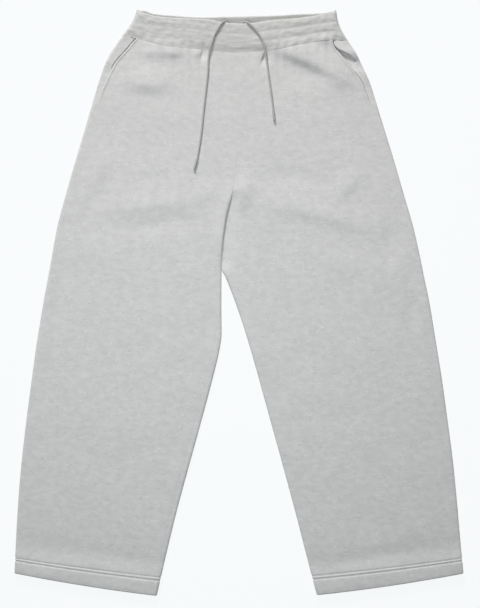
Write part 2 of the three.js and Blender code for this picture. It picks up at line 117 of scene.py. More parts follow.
FLAT_FADE = 0.012
BAND_TUCK = (0.004, -0.005)

# Places down the legs, along the side seam from the waistband
LEG_LENGTH = 0.928
POCKET_END = 0.119
HEM_STITCH = 0.902
HEM_ROWS = (HEM_STITCH, HEM_STITCH + 0.0045)

# Dip of the right leg's front beside the left leg's edge, which comes and goes between places down the leg
CROTCH_DIP = 0.0036
DIP_REACH = 0.017
DIP_START = (0.262, 0.285)
DIP_END = (0.38, 0.402)

# Stitches
STITCH_PITCH = 0.0034
STITCH_LENGTH = 0.0026
STITCH_RADIUS = 0.00026
STITCH_SIDES = 6
STITCH_RINGS = ((0, 0.5), (0.15, 1), (0.85, 1), (1, 0.5))  # place along the stitch and share of its radius

# Mesh steps
FRONT_STEPS = 124
BACK_STEPS = 37
DOWN_STEP = 0.0045
TOP_STEP = 0.0022  # down to TOP_END, where the cloth has its finest folds
TOP_END = 0.15
FINE_ENDS = (0, 0.0004, 0.0009, 0.0015, 0.0023, 0.0033, 0.0045, 0.0058, 0.00707)
WELT_COLUMN = FINE_ENDS.index(WELT_WIDTH)
FACING_STEPS = 110
FACING_STEPS_ACROSS = 90
BAND_STEPS = 340
BAND_ROWS = 47
STITCH_ROW_STEPS = (-0.022, -0.01, 0, 0.01, 0.022)  # extra rows of the band round a row of stitches
STITCH_ROW_CLEARANCE = 0.03

# Colours
FLEECE_GREY = (0.57, 0.57, 0.565)
BAND_GREY = (0.522, 0.524, 0.513)
CORD_GREY = (0.46, 0.46, 0.45)
THREAD_GREY = (0.5, 0.5, 0.495)
FLOOR_GREY = (0.05, 0.05, 0.05)
FLOOR_GLOW = (0.97, 0.99, 1)
ROOM_WHITE = (0.96, 0.985, 1)

# Floor
FLOOR_REACH = 4.0
FLOOR_DEPTH = 0.0004


def table(names, rows):
    """Rows of numbers as named columns."""
    return dict(zip(names.split(), np.array(rows, float).T))


# Edges of each half: out is the side seam, in is the centre seam and below the crotch the leg's inner edge
LEFT_EDGES = table(
    "at out_x out_y in_x in_y",
    [
        (0, -0.2015, 0.462, 0.0015, 0.4325),
        (0.022, -0.217, 0.4395, 0.001, 0.4085),
        (0.043, -0.229, 0.419, 0, 0.3845),
        (0.078, -0.2415, 0.3845, 0, 0.357),
        (0.112, -0.252, 0.35, -0.001, 0.3275),
        (0.164, -0.267, 0.2985, -0.0015, 0.2845),
        (0.216, -0.2825, 0.2465, -0.005, 0.2415),
        (0.272, -0.299, 0.1895, -0.012, 0.1895),
        (0.329, -0.314, 0.1325, -0.023, 0.1325),
        (0.398, -0.3265, 0.064, -0.03, 0.0575),
        (0.457, -0.3375, 0.005, -0.0304, -0.0015),
        (0.508, -0.346, -0.046, -0.03, -0.055),
        (0.526, -0.349, -0.064, -0.0324, -0.074),
        (0.595, -0.3585, -0.1325, -0.0495, -0.1465),
        (0.664, -0.3675, -0.2015, -0.069, -0.219),
        (0.733, -0.3755, -0.2705, -0.089, -0.2915),
        (0.802, -0.3815, -0.3395, -0.1085, -0.364),
        (0.871, -0.3855, -0.4085, -0.126, -0.436),
        (0.928, -0.388, -0.4665, -0.142, -0.506),
    ],
)
RIGHT_EDGES = table(
    "at out_x out_y in_x in_y",
    [
        (0, 0.189, 0.4515, 0.0015, 0.4325),
        (0.022, 0.2035, 0.4295, 0.001, 0.4085),
        (0.043, 0.2135, 0.4085, 0, 0.3845),
        (0.078, 0.226, 0.381, 0, 0.357),
        (0.112, 0.236, 0.35, -0.001, 0.3275),
        (0.164, 0.252, 0.2985, -0.0015, 0.2845),
        (0.216, 0.268, 0.2465, -0.005, 0.2415),
        (0.272, 0.2845, 0.1895, -0.012, 0.1895),
        (0.329, 0.301, 0.1325, -0.023, 0.1325),
        (0.398, 0.3165, 0.063, -0.03, 0.0575),
        (0.41, 0.319, 0.05, -0.0248, 0.0475),
        (0.457, 0.3285, 0.005, -0.0055, -0.0015),
        (0.526, 0.34, -0.064, 0.017, -0.0705),
        (0.595, 0.351, -0.1325, 0.0375, -0.143),
        (0.664, 0.3605, -0.2015, 0.0575, -0.2155),
        (0.733, 0.3695, -0.2705, 0.0775, -0.288),
        (0.802, 0.3765, -0.3395, 0.097, -0.3605),
        (0.871, 0.3825, -0.4085, 0.1155, -0.4325),
        (0.928, 0.388, -0.467, 0.1345, -0.505),
    ],
)

# Section of both halves: loft is the height of the front's face and rim the side seam's height. close is 0
# at the open hip and 1 where the leg's inner edge is closed.
SECTIONS = table(
    "at loft wall rim close",
    [
        (0, 0.0094, 0.0029, 0.0032, 0),
        (0.043, 0.0093, 0.0027, 0.0032, 0),
        (0.119, 0.0089, 0.0025, 0.0032, 0),
        (0.164, 0.008, 0.0023, 0.0036, 0),
        (0.25, 0.0074, 0.0022, 0.0037, 0),
        (0.272, 0.0074, 0.0022, 0.0037, 0.1),
        (0.318, 0.0073, 0.0022, 0.0036, 1),
        (0.6, 0.007, 0.0022, 0.0035, 1),
        (0.84, 0.0073, 0.0022, 0.0037, 1),
        (0.88, 0.0075, 0.0023, 0.0039, 1),
        (0.899, 0.0088, 0.0024, 0.0042, 1),
        (0.903, 0.0094, 0.0036, 0.0044, 1),
        (0.922, 0.0102, 0.0038, 0.0045, 1),
        (0.928, 0.0097, 0.0034, 0.0045, 1),
    ],
)
LEFT_POCKET = table("at inset", [(0, 0.025), (0.022, 0.022), (0.043, 0.017), (0.078, 0.012), (0.119, 0.007)])
RIGHT_POCKET = table(
    "at inset",
    [(0, 0.029), (0.012, 0.0325), (0.024, 0.0287), (0.043, 0.0222), (0.078, 0.014), (0.119, 0.0105)],
)

# The slit beside each pocket's folded edge: its width, how far the facing's lip stands up outside it and how
# far the facing dips in it. The right one gapes in a wedge below the waist.
LEFT_SLIT = table(
    "at width rise dip",
    [(0, 0.0013, 0.0039, 0), (0.02, 0.0013, 0.0026, 0), (0.119, 0.0013, 0.0026, 0)],
)
RIGHT_SLIT = table(
    "at width rise dip",
    [
        (0, 0.0013, 0.0039, 0.0002),
        (0.007, 0.0013, 0.0044, 0.0006),
        (0.012, 0.0024, 0.005, 0.0012),
        (0.02, 0.0101, 0.0058, 0.0014),
        (0.027, 0.0158, 0.0042, 0.0014),
        (0.033, 0.0187, 0.0011, 0.001),
        (0.04, 0.01, 0, 0.0004),
        (0.045, 0.0013, 0.0003, 0.0003),
        (0.056, 0.0013, 0.002, 0),
        (0.119, 0.0013, 0.0026, 0),
    ],
)

# How far the left leg's back turns over its inner edge, up to the inseam that shows on top
LEFT_WRAP = table(
    "at inset",
    [(0, 0), (0.445, 0), (0.5, 0.012), (0.54, 0.015), (0.7, 0.015), (0.84, 0.013), (0.928, 0.005)],
)
NO_WRAP = table("at inset", [(0, 0), (LEG_LENGTH, 0)])

# The two halves: shut is where a pocket's slit closes, down the leg, dips is 1 where the crotch dip is, and
# tail_steps are the mesh steps over the back's turned edge
LEFT = SimpleNamespace(
    edges=LEFT_EDGES,
    pocket=LEFT_POCKET,
    slit=LEFT_SLIT,
    shut=(0.04, 0.066),
    wrap=LEFT_WRAP,
    dips=0,
    tail_steps=18,
)
RIGHT = SimpleNamespace(
    edges=RIGHT_EDGES,
    pocket=RIGHT_POCKET,
    slit=RIGHT_SLIT,
    shut=(0.06, 0.1),
    wrap=NO_WRAP,
    dips=1,
    tail_steps=8,
)

# Edges of the waistband
WAIST_SEAM = table(
    "at y",
    [
        (-0.2015, 0.462),
        (-0.1775, 0.4565),
        (-0.145, 0.448),
        (-0.118, 0.4425),
        (-0.067, 0.4375),
        (0.0015, 0.4325),
        (0.0395, 0.4345),
        (0.105, 0.4455),
        (0.1485, 0.453),
        (0.165, 0.454),
        (0.189, 0.4515),
    ],
)
FRONT_TOP = table(
    "at y",
    [
        (-0.1765, 0.5045),
        (-0.1605, 0.499),
        (-0.143, 0.4945),
        (-0.1085, 0.4915),
        (-0.055, 0.4895),
        (-0.026, 0.484),
        (0.0015, 0.482),
        (0.019, 0.4825),
        (0.0535, 0.4875),
        (0.105, 0.4915),
        (0.1395, 0.497),
        (0.168, 0.5025),
    ],
)
BACK_TOP = table(
    "at y",
    [
        (-0.1765, 0.506),
        (-0.163, 0.5055),
        (-0.1485, 0.5005),
        (-0.1085, 0.497),
        (-0.067, 0.4946),
        (-0.026, 0.4947),
        (0.0395, 0.4963),
        (0.105, 0.4996),
        (0.1395, 0.501),
        (0.168, 0.506),
    ],
)

# Folds of the front: a soft ridge (height above 0) or trough along a line turned by angle degrees, with a
# width on either side of the line
FOLDS = table(
    "x y angle length above below height",
    [
        # Right hip and pocket
        (0.114, 0.4195, -23.5, 0.06, 0.036, 0.0135, 0.005),
        (0.108, 0.4045, -23.5, 0.06, 0.0115, 0.05, -0.0034),
        (0.147, 0.456, -8, 0.016, 0.012, 0.009, 0.0042),
        (0.168, 0.385, -14, 0.026, 0.028, 0.02, 0.0036),
        (0.13, 0.36, -6, 0.05, 0.025, 0.015, 0.0008),
        # Right leg
        (0.136, 0.152, -14, 0.085, 0.03, 0.013, 0.0025),
        (0.188, 0.2, 52, 0.03, 0.02, 0.009, 0.002),
        (0.097, 0.218, -7, 0.05, 0.012, 0.012, -0.0009),
        (0.26, 0.097, 82, 0.045, 0.016, 0.016, -0.0016),
        (0.297, -0.022, 92, 0.034, 0.012, 0.012, -0.0013),
        (0.2, 0.06, -20, 0.06, 0.03, 0.02, 0.0012),
        # Left hip
        (-0.157, 0.378, -4, 0.036, 0.034, 0.0135, 0.0038),
        (-0.13, 0.4345, -3, 0.038, 0.035, 0.0115, 0.0036),
        (-0.155, 0.429, -14, 0.01, 0.02, 0.009, 0.001),
        (-0.112, 0.429, -12, 0.008, 0.015, 0.0065, 0.0014),
        (-0.073, 0.43, 4, 0.006, 0.006, 0.006, 0.0014),
        # Left leg
        (-0.153, 0.167, 5, 0.07, 0.02, 0.01, 0.0016),
        (-0.153, 0.136, 5, 0.08, 0.01, 0.02, -0.0013),
        (-0.162, 0.216, 3, 0.034, 0.01, 0.01, -0.0008),
        (-0.059, 0.191, 20, 0.03, 0.016, 0.016, 0.0012),
        (-0.242, 0.185, 60, 0.04, 0.014, 0.014, -0.0013),
        (-0.236, 0.238, 60, 0.03, 0.016, 0.016, 0.0012),
        (-0.311, 0.014, 84, 0.08, 0.012, 0.012, -0.0016),
        (-0.052, -0.033, 92, 0.044, 0.011, 0.011, -0.0012),
        # Crotch, where the left leg's edge lies over the right one's
        (0.004, 0.189, -12, 0.017, 0.032, 0.027, 0.0042),
        (-0.0265, 0.13, 82, 0.055, 0.016, 0.003, 0.0022),
        # Centre front and the tucks at its two ends
        (0.0035, 0.4, 90, 0.04, 0.006, 0.006, 0.0006),
        (-0.043, 0.359, -76, 0.035, 0.003, 0.003, -0.0008),
        (0.055, 0.416, 90, 0.02, 0.004, 0.004, 0.0013),
        (-0.0585, 0.414, 88, 0.018, 0.004, 0.004, 0.0006),
        (-0.0635, 0.43, 78, 0.01, 0.0018, 0.011, -0.0028),
        (0.0425, 0.4235, 68, 0.011, 0.0018, 0.011, -0.0038),
        # Above the hems
        (-0.257, -0.431, -9, 0.14, 0.015, 0.015, -0.0012),
        (0.243, -0.436, 9, 0.14, 0.015, 0.015, -0.0014),
    ],
)

# The drawcord's free ends
CORD_DIAMETER = 0.0032
TIP_DIAMETER = 0.0042
CURVE_STEPS = 24  # between two points of the route
CORD_STEP = 0.00045
CORD_SIDES = 24
BRAID_PITCH = 0.0085
BRAID_STRANDS = 3
BRAID_RELIEF = 0.1  # share of the radius
TIP_LENGTH = 0.018
TIP_STEPS = 130
TIP_SIDES = 20
TIP_OVERLAP = 0.0005
TIP_ROUND = 0.001
TIP_END_SHARE = 0.35  # of the tip's radius left at its very ends
WINDING_PITCH = 0.0009
WINDING_RELIEF = 0.04  # share of the tip's radius
LEFT_CORD = [
    (-0.0095, 0.4775, 0.00575),
    (-0.014, 0.4826, 0.00575),
    (-0.018, 0.486, 0.0072),
    (-0.0226, 0.4868, 0.0106),
    (-0.0273, 0.4842, 0.0139),
    (-0.0325, 0.4783, 0.0148),
    (-0.038, 0.4695, 0.0145),
    (-0.043, 0.4595, 0.0145),
    (-0.046, 0.45, 0.0144),
    (-0.0495, 0.4395, 0.0139),
    (-0.0515, 0.4295, 0.0126),
    (-0.053, 0.417, 0.0118),
    (-0.0535, 0.402, 0.0116),
    (-0.056, 0.376, 0.0115),
    (-0.0595, 0.346, 0.0112),
    (-0.0625, 0.317, 0.0107),
    (-0.066, 0.2865, 0.01),
    (-0.071, 0.255, 0.0097),
    (-0.0726, 0.248, 0.0098),
]
RIGHT_CORD = [
    (-0.001, 0.4775, 0.00575),
    (0.0032, 0.4818, 0.00575),
    (0.007, 0.4844, 0.0072),
    (0.0116, 0.4848, 0.0108),
    (0.016, 0.4824, 0.0137),
    (0.022, 0.477, 0.0146),
    (0.0285, 0.4705, 0.0145),
    (0.035, 0.4615, 0.0145),
    (0.04, 0.4525, 0.0144),
    (0.0435, 0.443, 0.0142),
    (0.0455, 0.4325, 0.013),
    (0.047, 0.4205, 0.012),
    (0.0495, 0.4035, 0.0117),
    (0.052, 0.3845, 0.0116),
    (0.0555, 0.3605, 0.0114),
    (0.0588, 0.333, 0.011),
]


# Camera


def make_camera():
    data = bpy.data.cameras.new("camera")
    camera = bpy.data.objects.new("camera", data)
    bpy.context.collection.objects.link(camera)
    cloth_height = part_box("front_left")[1].z
    camera.location = (*VIEW_CENTRE, CAMERA_HEIGHT)
    data.sensor_width = SENSOR * 1000
    data.lens = 1000 * SENSOR * (CAMERA_HEIGHT - cloth_height) / VIEW_HEIGHT
    bpy.context.scene.camera = camera


# Materials


def new_material(name, roughness):
    material = bpy.data.materials.new(name)
    material.use_nodes = True
    shader = material.node_tree.nodes["Principled BSDF"]
    shader.inputs["Roughness"].default_value = roughness
    shader.inputs["Specular IOR Level"].default_value = 0.2
    return material, material.node_tree, shader


def noise_node(tree, stretch, size, detail, offset=(0, 0, 0)):
    """Noise whose lumps are size metres across, stretched by the factors in stretch."""
    nodes, links = tree.nodes, tree.links
    coordinates = nodes.new("ShaderNodeTexCoord")
    mapping = nodes.new("ShaderNodeMapping")
    mapping.inputs["Location"].default_value = offset
    mapping.inputs["Scale"].default_value = [1 / (size * factor) for factor in stretch]
    texture = nodes.new("ShaderNodeTexNoise")
    texture.inputs["Scale"].default_value = 1
    texture.inputs["Detail"].default_value = detail
    links.new(coordinates.outputs["Object"], mapping.inputs["Vector"])
    links.new(mapping.outputs["Vector"], texture.inputs["Vector"])
    return texture.outputs["Fac"]


def ramp_node(tree, value, low, high, top=1.0):
    """Value turned into 0 below low and top above high."""
    node = tree.nodes.new("ShaderNodeMapRange")
    node.interpolation_type = "SMOOTHSTEP"
    node.inputs["From Min"].default_value = low
    node.inputs["From Max"].default_value = high
    node.inputs["To Max"].default_value = top
    tree.links.new(value, node.inputs["Value"])
    return node.outputs["Result"]


def mix_node(tree, factor, first, second):
    node = tree.nodes.new("ShaderNodeMix")
    node.data_type = "RGBA"
    for socket, colour in (("A", first), ("B", second)):
        target = [s for s in node.inputs if s.name == socket and s.type == "RGBA"][0]
        if isinstance(colour, tuple):
            target.default_value = (*colour, 1)
        else:
            tree.links.new(colour, target)
    tree.links.new(factor, [s for s in node.inputs if s.name == "Factor" and s.type == "VALUE"][0])
    return [s for s in node.outputs if s.type == "RGBA"][0]


def add_bump(tree, shader, height, distance, strength):
    bump = tree.nodes.new("ShaderNodeBump")
    bump.inputs["Distance"].default_value = distance
    bump.inputs["Strength"].default_value = strength
    tree.links.new(height, bump.inputs["Height"])
    tree.links.new(bump.outputs["Normal"], shader.inputs["Normal"])


def fleece_material(name, ground):
    """Heather fleece: soft pale and dark flecks along the knit, short fibres and a brushed nap."""

    def shade(share):
        return tuple(share * c for c in ground)

    material, tree, shader = new_material(name, 0.95)
    shader.inputs["Sheen Weight"].default_value = 0.2
    shader.inputs["Sheen Roughness"].default_value = 0.6
    blotches = noise_node(tree, stretch=(1.8, 1, 1), size=0.0085, detail=1.5)
    dark_flecks = noise_node(tree, stretch=(2, 1, 1), size=0.003, detail=2)
    light_flecks = noise_node(tree, stretch=(2, 1, 1), size=0.003, detail=2, offset=(3.7, 1.9, 5.1))
    fibres = noise_node(tree, stretch=(4, 1, 1), size=0.0005, detail=2, offset=(1.3, 8.2, 2.2))
    blotch = ramp_node(tree, blotches, low=0.25, high=0.75)
    dark_fleck = ramp_node(tree, dark_flecks, low=0.57, high=0.78, top=0.6)
    light_fleck = ramp_node(tree, light_flecks, low=0.57, high=0.78, top=0.55)
    fibre = ramp_node(tree, fibres, low=0.35, high=0.75, top=0.25)
    colour = mix_node(tree, blotch, shade(0.95), shade(1.05))
    colour = mix_node(tree, dark_fleck, colour, shade(0.72))
    colour = mix_node(tree, light_fleck, colour, shade(1.3))
    colour = mix_node(tree, fibre, colour, shade(0.84))
    tree.links.new(colour, shader.inputs["Base Color"])
    nap = noise_node(tree, stretch=(1.6, 1, 1), size=0.0008, detail=4, offset=(6.1, 0.4, 3.3))
    add_bump(tree, shader, nap, distance=0.0005, strength=0.2)
    return material


def thread_material(name, colour):
    material, tree, shader = new_material(name, 0.75)
    twist = noise_node(tree, stretch=(1, 1, 1), size=0.0004, detail=1)
    shade = mix_node(tree, twist, colour, tuple(0.8 * c for c in colour))
    tree.links.new(shade, shader.inputs["Base Color"])
    return material


def cord_material(name, colour):
    material, tree, shader = new_material(name, 0.85)
    shader.inputs["Sheen Weight"].default_value = 0.15
    strands = noise_node(tree, stretch=(1, 1, 1), size=0.0006, detail=3)
    shade = mix_node(tree, strands, colour, tuple(0.7 * c for c in colour))
    tree.links.new(shade, shader.inputs["Base Color"])
    fibres = noise_node(tree, stretch=(1, 1, 1), size=0.0003, detail=2)
    add_bump(tree, shader, fibres, distance=0.0002, strength=0.4)
    return material


# Meshes


def place_mesh(name, points, faces, material, nodes=()):
    """A piece from points and faces, riding on the garment's body and standing for the nodes named."""
    mesh = bpy.data.meshes.new(name)
    mesh.from_pydata([tuple(p) for p in points], [], [tuple(f) for f in faces])
    form = bmesh.new()
    form.from_mesh(mesh)
    bmesh.ops.recalc_face_normals(form, faces=form.faces)
    form.to_mesh(mesh)
    form.free()
    mesh.materials.append(material)
    mesh.polygons.foreach_set("use_smooth", [True] * len(mesh.polygons))
    mesh.set_sharp_from_angle(angle=math.radians(60))
    mesh.update()
    piece = bpy.data.objects.new(name, mesh)
    bpy.context.collection.objects.link(piece)
    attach(piece, "root")
    if nodes:
        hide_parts(*nodes)
    return piece


def grid_faces(rows, columns, first=0):
    """Quads of a grid of points numbered row by row from first."""
    index = np.arange(rows * columns).reshape(rows, columns) + first
    corners = (index[:-1, :-1], index[:-1, 1:], index[1:, 1:], index[1:, :-1])
    return np.stack(corners, axis=-1).reshape(-1, 4)


def rim_arcs(outer, inner, edge, within, steps, share):
    """Rows of points that round off the rim at one edge of a shell. within is the next row or column in."""
    middle = (outer[edge] + inner[edge]) / 2
    half = (outer[edge] - inner[edge]) / 2
    away = middle - (outer[within] + inner[within]) / 2
    away /= np.linalg.norm(away, axis=1)[:, None]
    bulge = np.linalg.norm(half, axis=1)[:, None] * away * share
    angles = [math.pi * step / (steps + 1) for step in range(1, steps + 1)]
    return [middle + half * math.cos(angle) + bulge * math.sin(angle) for angle in angles]


def rim_faces(rim, forward):
    """Quads between the rows of point numbers of a rim."""
    faces = []
    for upper, lower in zip(rim[:-1], rim[1:]):
        for k in range(len(upper) - 1):
            quad = [upper[k], upper[k + 1], lower[k + 1], lower[k]]
            faces.append(quad[::-1] if forward else quad)
    return faces


def corner_faces(top, low, ends):
    """Faces that close the corners of a shell, between the rounded rims of a row and a column."""
    faces = []
    for row, column in ((0, 0), (0, 1), (1, 0), (1, 1)):
        corner = (-row, -column)
        loop = [top[corner], *ends[row][column], low[corner], *ends[2 + column][row][::-1]]
        if len(loop) > 2:
            faces.append(loop[::-1] if (row + column) % 2 else loop)
    return faces


def shell(outer, inner, rounds, first_column_share=1.0):
    """Closed wall between two grids of points. rounds gives the rows that round off the rim at the first
    row, last row, first column and last column: 0 leaves that rim flat. first_column_share tells how much of
    that column is rounded, row by row."""
    rows, columns = outer.shape[:2]
    top = np.arange(rows * columns).reshape(rows, columns)
    low = top + rows * columns
    points = [outer.reshape(-1, 3), inner.reshape(-1, 3)]
    count = 2 * rows * columns
    faces = [list(f) for f in grid_faces(rows, columns)]
    faces += [list(f[::-1]) for f in grid_faces(rows, columns, rows * columns)]
    sides = [
        ((0, slice(None)), (1, slice(None)), False),
        ((-1, slice(None)), (-2, slice(None)), True),
        ((slice(None), 0), (slice(None), 1), True),
        ((slice(None), -1), (slice(None), -2), False),
    ]
    shares = (1.0, 1.0, np.reshape(first_column_share, (-1, 1)), 1.0)
    ends = []
    for (edge, within, forward), steps, share in zip(sides, rounds, shares):
        rim = [top[edge]]
        for arc in rim_arcs(outer, inner, edge, within, steps, share):
            points.append(arc)
            rim.append(np.arange(len(arc)) + count)
            count += len(arc)
        rim.append(low[edge])
        faces += rim_faces(rim, forward)
        ends.append(([r[0] for r in rim[1:-1]], [r[-1] for r in rim[1:-1]]))
    faces += corner_faces(top, low, ends)
    return np.concatenate(points), faces


# Reading the tables


def slopes(at, values):
    """Slopes at the rows, flat at a peak, so that the curve never overshoots its rows."""
    rise = np.diff(values) / np.diff(at)
    product = rise[:-1] * rise[1:]
    total = np.where(product > 0, rise[:-1] + rise[1:], 1)
    within = np.where(product > 0, 2 * product / total, 0)
    return np.concatenate([rise[:1], within, rise[-1:]])


def read(rows, column, at):
    """Value of a column at one place or several, on a smooth curve through the rows."""
    places, values = rows["at"], rows[column]
    slope = slopes(places, values)
    at = np.clip(at, places[0], places[-1])
    i = np.clip(np.searchsorted(places, at) - 1, 0, len(places) - 2)
    span = places[i + 1] - places[i]
    t = (at - places[i]) / span
    blend = 3 * t**2 - 2 * t**3
    leave = (t**3 - 2 * t**2 + t) * span * slope[i]
    arrive = (t**3 - t**2) * span * slope[i + 1]
    return (1 - blend) * values[i] + leave + blend * values[i + 1] + arrive


def smoothstep(value, low, high):
    t = np.clip((value - low) / (high - low), 0, 1)
    return t * t * (3 - 2 * t)


def bell(distance, width):
    return np.exp(-((distance / width) ** 2))


# Folds, gathers and unevenness


def fold_height(x, y):
    height = np.zeros_like(x)
    for k in range(len(FOLDS["x"])):
        turn = math.radians(FOLDS["angle"][k])
        dx, dy = x - FOLDS["x"][k], y - FOLDS["y"][k]
        along = (dx * math.cos(turn) + dy * math.sin(turn)) / FOLDS["length"][k]
        aside = dy * math.cos(turn) - dx * math.sin(turn)
        across = aside / np.where(aside > 0, FOLDS["above"][k], FOLDS["below"][k])
        height += FOLDS["height"][k] * np.exp(-(along**2) - across**2)
    return height


def gathered(x):
    """0 in the flat centre of the front, 1 where the elastic gathers it."""
    outside = np.maximum(FLAT_FRONT[0] - x, x - FLAT_FRONT[1])
    return smoothstep(outside, -FLAT_FADE / 2, FLAT_FADE / 2)


def gather_wave(x, drift=0.0):
    """Uneven wave of the gathers, from -1 to 1, gone in the flat centre of the front."""
    wander = 1.6 * np.sin(x / 0.037 + drift) + 0.9 * np.sin(x / 0.013 + 1 + drift)
    wave = 0.7 * np.sin(2 * math.pi * x / GATHER_PITCH + wander) + 0.3 * np.sin(x / 0.009 + 2 * wander)
    return wave * gathered(x)


def seam_lift(x):
    """How far folds and gathers lift the cloth at the waist seam."""
    return fold_height(x, read(WAIST_SEAM, "y", x)) + PUCKER_RELIEF * gather_wave(x)


def crotch_dip(x, y, tube):
    """Dip of the right leg's front towards the left leg's edge, where the two lie side by side."""
    share = smoothstep(tube.at, *DIP_START) * (1 - smoothstep(tube.at, *DIP_END))
    return -CROTCH_DIP * tube.dips * share * bell(np.hypot(x - tube.end[0], y - tube.end[1]), DIP_REACH)


def unevenness(x, y, size, seed):
    """Smooth noise from about -1 to 1 with lumps size metres across."""
    flat = [noise.noise(Vector((a / size, b / size, seed))) for a, b in zip(x.ravel(), y.ravel())]
    return np.array(flat).reshape(x.shape)


def cloth_waves(x, y):
    """Soft unevenness of the cloth as it lies, in metres."""
    return sum(height * unevenness(x, y, size, seed) for height, size, seed in CLOTH_WAVES)


# Sections of a flattened tube


def path_length(tube):
    return np.linalg.norm(tube.end - tube.start) + (math.pi - 2) * tube.turn


def path_to(tube, inset):
    """Path length up to a place that stands inset in from the tube's edge."""
    return inset + (math.pi / 2 - 1) * tube.turn


def tube_points(tube, q, inset, layer):
    """Points q along the layer's path from the tube's start, inset from the layer's face."""
    width = np.linalg.norm(tube.end - tube.start)
    quarter = tube.turn * math.pi / 2
    from_end = q > path_length(tube) / 2
    distance = np.where(from_end, path_length(tube) - q, q)
    close = np.where(from_end, tube.close_end, tube.close_start)
    seam = np.where(from_end, tube.seam_end, tube.seam_start)
    angle = np.clip(distance, 0, quarter) / tube.turn
    reach = tube.turn - np.cos(angle) * (tube.turn - inset * close) + np.maximum(distance - quarter, 0)
    across = np.where(from_end, width - reach, reach) / width
    place = tube.start + across[:, None] * (tube.end - tube.start)
    x, y = tube.shift(place, across)
    face = layer.face - inset + layer.relief(x, y, inset) if layer.upper else layer.face(x, y) + inset
    edge = tube.rim + (seam if layer.upper else -seam)
    flatness = 1 - close * (1 - np.sin(angle))
    return np.stack([x, y, flatness * face + (1 - flatness) * edge], axis=-1)


def half_at(half, at):
    """Section of half the garment at a place down the leg."""
    start = np.array([read(half.edges, "out_x", at), read(half.edges, "out_y", at)])
    end = np.array([read(half.edges, "in_x", at), read(half.edges, "in_y", at)])
    end -= (end - start) / np.linalg.norm(end - start) * SEAM_GAP / 2
    wrap = float(read(half.wrap, "inset", at))
    wrapped = min(1, wrap * 1000)  # comes in over the first millimetre
    return SimpleNamespace(
        start=start,
        end=end,
        turn=SIDE_TURN,
        rim=read(SECTIONS, "rim", at),
        close_start=1.0,
        close_end=read(SECTIONS, "close", at),
        seam_start=SEAM_GAP / 2,
        seam_end=(SEAM_GAP / 2) * (1 - wrapped),
        loft=float(read(SECTIONS, "loft", at)),
        wall=float(read(SECTIONS, "wall", at)),
        wrap=wrap,
        wrapped=wrapped,
        pocket=float(read(half.pocket, "inset", at)) if at <= POCKET_END else 0.0,
        dips=half.dips,
        at=at,
        shift=lambda place, across: bow_ends(half, at, place, across),
    )


def bow_ends(half, at, place, across):
    """The panels' upper ends follow the waist seam and their lower ends the hem, both of which bow away from
    the straight section there."""
    edges = half.edges
    waist_x = edges["out_x"][0] + across * (edges["in_x"][0] - edges["out_x"][0])
    straight = edges["out_y"][0] + across * (edges["in_y"][0] - edges["out_y"][0])
    bow = read(WAIST_SEAM, "y", waist_x) - SEAM_GAP - straight
    waist_share = max(0, 1 - at / POCKET_END) ** 2
    hem_share = max(0, 1 - (LEG_LENGTH - at) / HEM_BOW_REACH) ** 2
    return place[:, 0], place[:, 1] + waist_share * bow - hem_share * HEM_BOW * 4 * across * (1 - across)


def pocket_open(at):
    """How far a pocket is open at a place down its edge, from 1 to 0 at its lower end."""
    return 1 - smoothstep(at, *POCKET_FADE)


def front_layer(tube):
    """The front's face with its folds, puckers and pocket edge, over a hollow of limited height."""
    facing_width = tube.pocket + FACING_UNDERLAP if tube.pocket > 0 else 0

    def relief(x, y, inset):
        pucker = PUCKER_RELIEF * gather_wave(x) * math.exp(-tube.at / PUCKER_REACH)
        lift = fold_height(x, y) + pucker + cloth_waves(x, y) + crotch_dip(x, y, tube)
        from_side = np.hypot(x - tube.start[0], y - tube.start[1])
        over_facing = from_side < facing_width + 2 * SIDE_TURN
        lift = np.where(over_facing, np.maximum(lift, -FACING_SINK), lift)
        if tube.pocket > 0:
            within = from_side - tube.pocket
            welt = WELT_RISE * (1 - smoothstep(within, WELT_WIDTH - WELT_FADE, WELT_WIDTH + WELT_FADE))
            stitched = WELT_STITCH_DIP * bell(within - WELT_WIDTH, WELT_STITCH_REACH)
            lift = lift + pocket_open(tube.at) * (welt - stitched)
        if inset == 0:
            return lift
        hollow = tube.loft - inset - tube.wall + lift
        return lift + np.clip(hollow, SMALLEST_HOLLOW, LARGEST_HOLLOW) - hollow

    return SimpleNamespace(upper=True, face=tube.loft, relief=relief)


def under_face(x, y):
    """The underside rests on the floor, with shallow creases that stand a little clear of it."""
    return np.clip(cloth_waves(x + UNDER_SHIFT, y) + UNDER_LIFT, 0, UNDER_CREASE)


def down_places(stops):
    """Places down a panel, closer together at the stops."""
    fine = [stop + sign * step for stop in stops for step in FINE_ENDS[:6] for sign in (-1, 1)]
    top = np.arange(0, TOP_END, TOP_STEP)
    steps = round((LEG_LENGTH - TOP_END) / DOWN_STEP)
    even = np.concatenate([top, np.linspace(TOP_END, LEG_LENGTH, steps + 1)])
    near = [k for k in even if all(abs(k - stop) > FINE_ENDS[6] for stop in stops)]
    places = sorted({round(p, 6) for p in [*fine, *near] if 0 <= p <= LEG_LENGTH})
    return np.array(places)


def across_places(q0, q1, steps, tail=QUARTER_TURN, tail_steps=0):
    """Places along a layer from q0 to q1: fine over its turned ends, even between them."""
    head = q0 + np.array(FINE_ENDS)
    if tail_steps:
        end = q1 - tail * (1 - np.linspace(0, 1, tail_steps + 1)) ** 1.4
    else:
        end = q1 - np.array(FINE_ENDS)[::-1]
    middle = np.linspace(head[-1], end[0], steps + 1)[1:-1]
    return np.concatenate([head, middle, end])


def pinch(outer, inner, amount):
    """Draws the outer points towards the inner ones, as a seam or a row of stitches does."""
    return outer + (inner - outer) * amount[..., None]


# Panels


